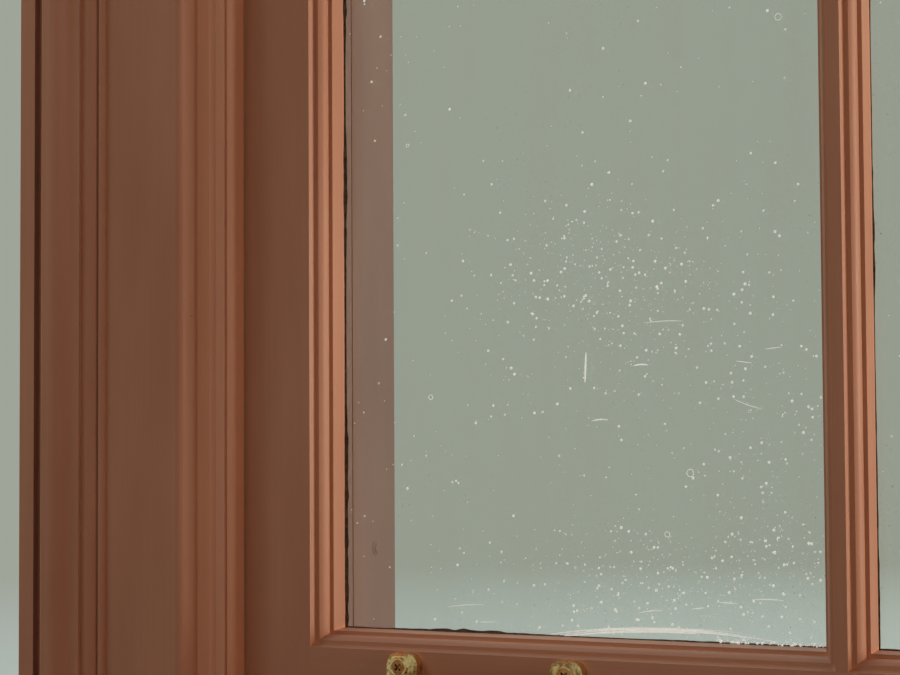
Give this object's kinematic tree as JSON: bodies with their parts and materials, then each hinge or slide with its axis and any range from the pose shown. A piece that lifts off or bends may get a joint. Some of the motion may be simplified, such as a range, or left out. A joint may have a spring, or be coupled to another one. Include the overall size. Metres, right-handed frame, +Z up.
{
  "type": "sash window",
  "caption": "Timber box-frame sliding sash window with glazed upper and lower sashes, cords, pulleys, iron weights, brass lifts and a moulded architrave.",
  "frame": {"origin": "centre of the sill's underside, half way along and half way through its depth", "axes": "+Z up, +Y outdoors, +X to the right seen from the room"},
  "size_m": [1.2384, 0.268, 2.0162],
  "materials": {
    "painted_timber": "satin oil paint, many coats",
    "bare_timber": "bare softwood",
    "window_glass": "clear, dusty",
    "putty": "painted putty",
    "lift_brass": "aged cast brass",
    "screw_brass": "brass screw",
    "pulley_brass": "dull brass",
    "cast_iron": "as cast",
    "sash_cord": "braided waxed cotton"
  },
  "bodies": {
    "root": {"architrave_head": "painted_timber", "architrave_left": "painted_timber", "architrave_right": "painted_timber", "back_linings": "bare_timber", "head": "bare_timber", "inner_lining_head": "painted_timber", "inner_lining_left": "painted_timber", "inner_lining_right": "painted_timber", "lower_sash_cord_left": "sash_cord", "lower_sash_cord_right": "sash_cord", "outer_casing_head": "painted_timber", "outer_casing_left": "painted_timber", "outer_casing_right": "painted_timber", "outer_lining_head": "painted_timber", "outer_lining_left": "painted_timber", "outer_lining_right": "painted_timber", "parting_beads": "painted_timber", "parting_slips": "bare_timber", "pocket_pieces": "painted_timber", "pulley_cases": "pulley_brass", "pulley_stile_left": "painted_timber", "pulley_stile_right": "painted_timber", "sill": "painted_timber", "staff_bead_foot": "painted_timber", "staff_bead_head": "painted_timber", "staff_bead_left": "painted_timber", "staff_bead_right": "painted_timber", "upper_sash_cord_left": "sash_cord", "upper_sash_cord_right": "sash_cord", "window_board": "painted_timber"},
    "lower_sash": {"lower_bottom_rail": "painted_timber", "lower_cross_bars": "painted_timber", "lower_meeting_rail": "painted_timber", "lower_panes": "window_glass", "lower_putty": "putty", "lower_stile_left": "painted_timber", "lower_stile_right": "painted_timber", "lower_vertical_bars": "painted_timber", "sash_lift_left": "lift_brass", "sash_lift_right": "lift_brass", "lift_screws": "screw_brass", "fastener_base": "lift_brass"},
    "upper_sash": {"upper_cross_bars": "painted_timber", "upper_meeting_rail": "painted_timber", "upper_panes": "window_glass", "upper_putty": "putty", "upper_stile_left": "painted_timber", "upper_stile_right": "painted_timber", "upper_top_rail": "painted_timber", "upper_vertical_bars": "painted_timber", "fastener_keep": "lift_brass"},
    "lower_weight_left": {"lower_weight_left": "cast_iron"},
    "lower_pulley_wheel_left": {"lower_pulley_wheel_left": "pulley_brass"},
    "lower_weight_right": {"lower_weight_right": "cast_iron"},
    "lower_pulley_wheel_right": {"lower_pulley_wheel_right": "pulley_brass"},
    "upper_weight_left": {"upper_weight_left": "cast_iron"},
    "upper_pulley_wheel_left": {"upper_pulley_wheel_left": "pulley_brass"},
    "upper_weight_right": {"upper_weight_right": "cast_iron"},
    "upper_pulley_wheel_right": {"upper_pulley_wheel_right": "pulley_brass"},
    "fastener_arm": {"fastener_arm": "lift_brass"}
  },
  "joints": [
    {"name": "lower_sash_slide", "type": "slide", "parent": "root", "child": "lower_sash", "axis": [0, 0, 1], "range_m": [0, 0.78], "deforming": ["lower_sash_cord_left", "lower_sash_cord_right"]},
    {"name": "upper_sash_slide", "type": "slide", "parent": "root", "child": "upper_sash", "axis": [0, 0, -1], "range_m": [0, 0.78], "deforming": ["upper_sash_cord_left", "upper_sash_cord_right"]},
    {"name": "lower_weight_left_slide", "type": "slide", "parent": "root", "child": "lower_weight_left", "axis": [0, 0, -1], "range_m": [0, 0.78]},
    {"name": "lower_pulley_left_turn", "type": "hinge", "parent": "root", "child": "lower_pulley_wheel_left", "pos_m": [-0.4952, -0.0605, 1.7727], "axis": [0, -1, 0], "range_deg": [0, 1800]},
    {"name": "lower_weight_right_slide", "type": "slide", "parent": "root", "child": "lower_weight_right", "axis": [0, 0, -1], "range_m": [0, 0.78]},
    {"name": "lower_pulley_right_turn", "type": "hinge", "parent": "root", "child": "lower_pulley_wheel_right", "pos_m": [0.4952, -0.0605, 1.7727], "axis": [0, 1, 0], "range_deg": [0, 1800]},
    {"name": "upper_weight_left_slide", "type": "slide", "parent": "root", "child": "upper_weight_left", "axis": [0, 0, 1], "range_m": [0, 0.78]},
    {"name": "upper_pulley_left_turn", "type": "hinge", "parent": "root", "child": "upper_pulley_wheel_left", "pos_m": [-0.4952, -0.0139, 1.7727], "axis": [0, 1, 0], "range_deg": [0, 1800]},
    {"name": "upper_weight_right_slide", "type": "slide", "parent": "root", "child": "upper_weight_right", "axis": [0, 0, 1], "range_m": [0, 0.78]},
    {"name": "upper_pulley_right_turn", "type": "hinge", "parent": "root", "child": "upper_pulley_wheel_right", "pos_m": [0.4952, -0.0139, 1.7727], "axis": [0, -1, 0], "range_deg": [0, 1800]},
    {"name": "fastener_arm_turn", "type": "hinge", "parent": "lower_sash", "child": "fastener_arm", "pos_m": [0, -0.0642, 1.0211], "axis": [0, 0, 1], "range_deg": [0, 90]}
  ],
  "couplings": [
    {"joint": "lower_weight_left_slide", "follows": "lower_sash_slide", "ratio": 1},
    {"joint": "lower_pulley_left_turn", "follows": "lower_sash_slide", "rad_per_m": 40},
    {"joint": "lower_weight_right_slide", "follows": "lower_sash_slide", "ratio": 1},
    {"joint": "lower_pulley_right_turn", "follows": "lower_sash_slide", "rad_per_m": 40},
    {"joint": "upper_weight_left_slide", "follows": "upper_sash_slide", "ratio": 1},
    {"joint": "upper_pulley_left_turn", "follows": "upper_sash_slide", "rad_per_m": 40},
    {"joint": "upper_weight_right_slide", "follows": "upper_sash_slide", "ratio": 1},
    {"joint": "upper_pulley_right_turn", "follows": "upper_sash_slide", "rad_per_m": 40}
  ]
}
